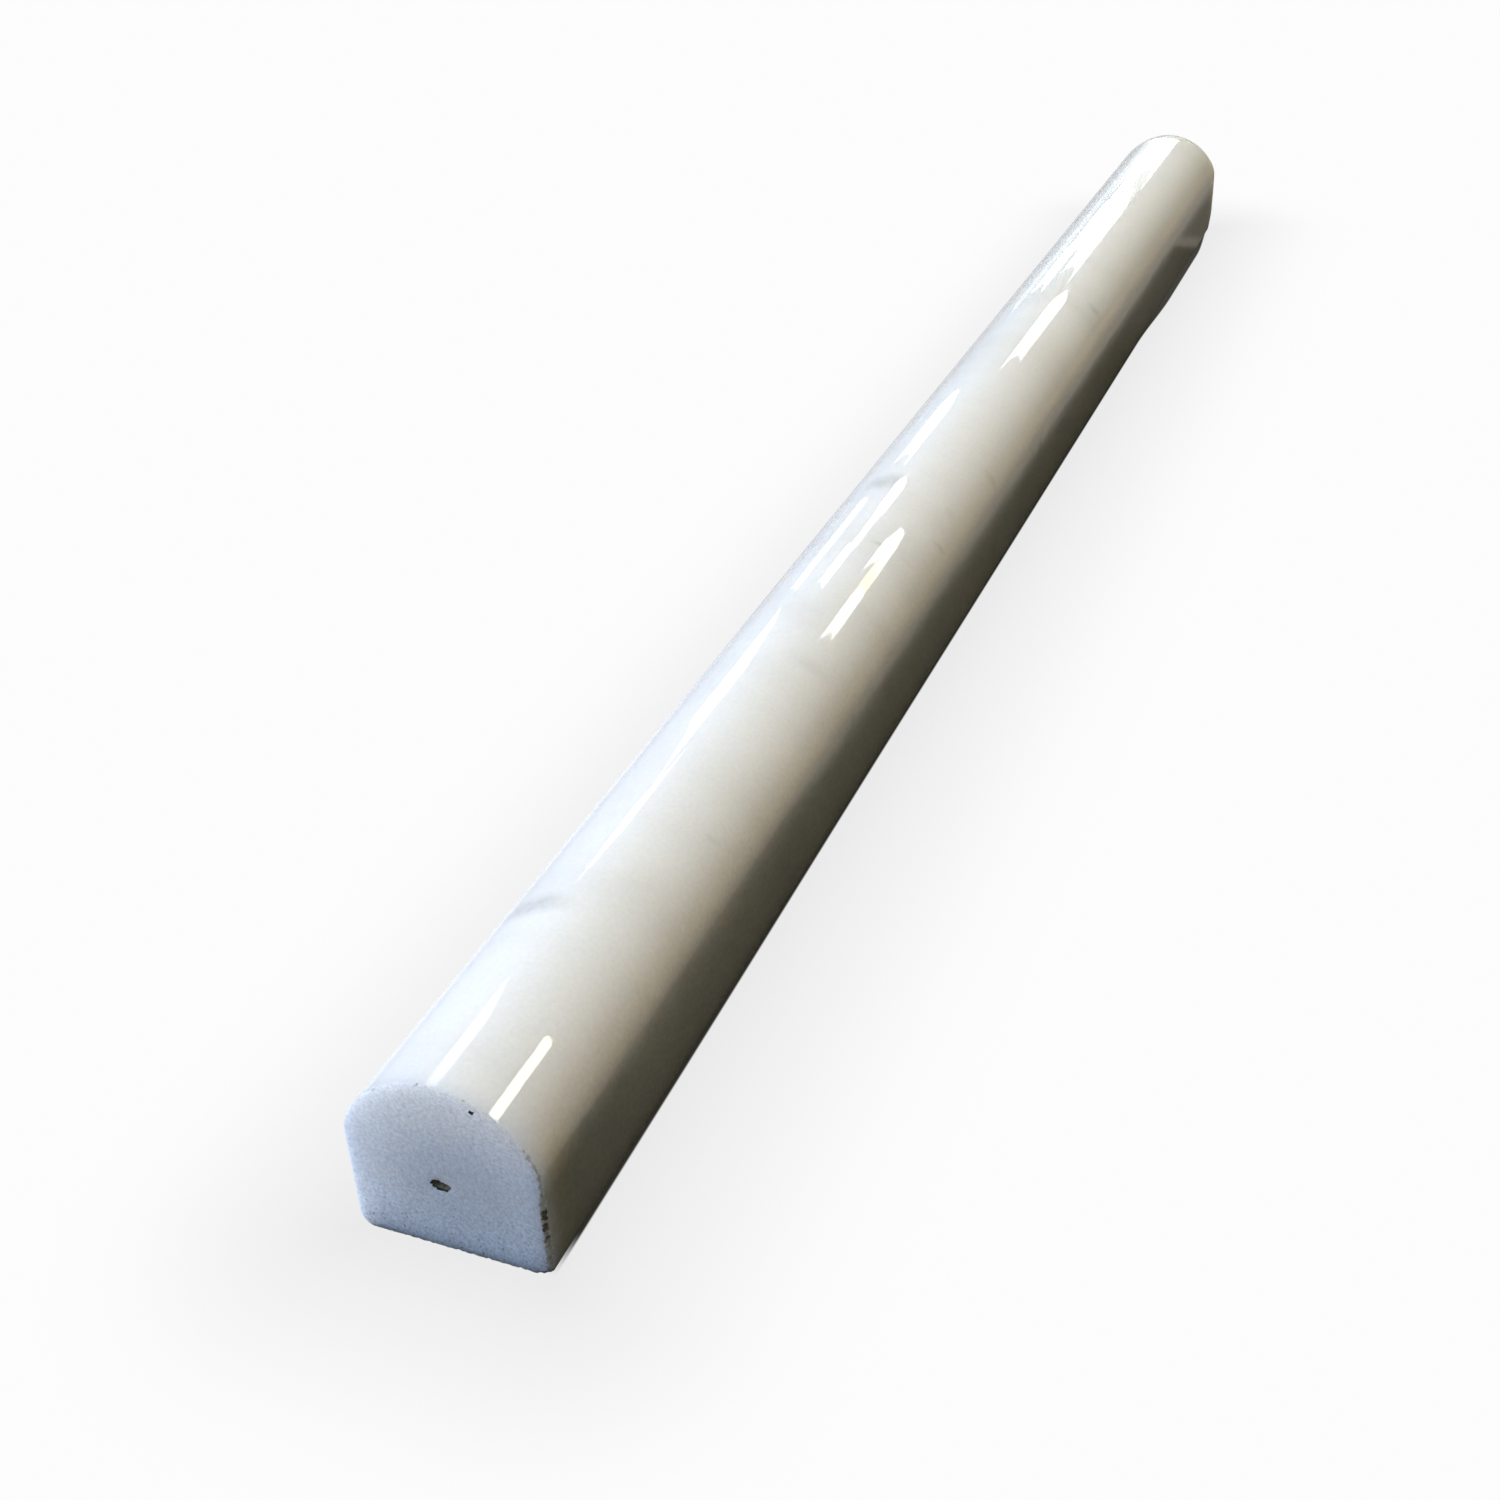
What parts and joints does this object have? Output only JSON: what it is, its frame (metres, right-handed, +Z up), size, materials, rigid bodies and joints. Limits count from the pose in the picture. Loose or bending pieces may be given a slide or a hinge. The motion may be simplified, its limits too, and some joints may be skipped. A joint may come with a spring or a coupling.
{
  "type": "marble pencil liner tile",
  "caption": "Narrow polished stone trim bar with a flat back, upright sides, a domed face and square sawn ends, laid as a border between wall tiles.",
  "frame": {"origin": "on the level floor under the middle of the bar, at the centre of its flat back", "axes": "+X along the bar, away from the sawn end that has the pit; +Y across the bar; +Z up from the flat back towards the crown of the dome"},
  "size_m": [0.3048, 0.019, 0.0191],
  "materials": {
    "marble": "polished on the dome and sides, matt saw cut on the ends"
  },
  "bodies": {
    "root": {"pencil_liner": "marble"}
  },
  "joints": []
}
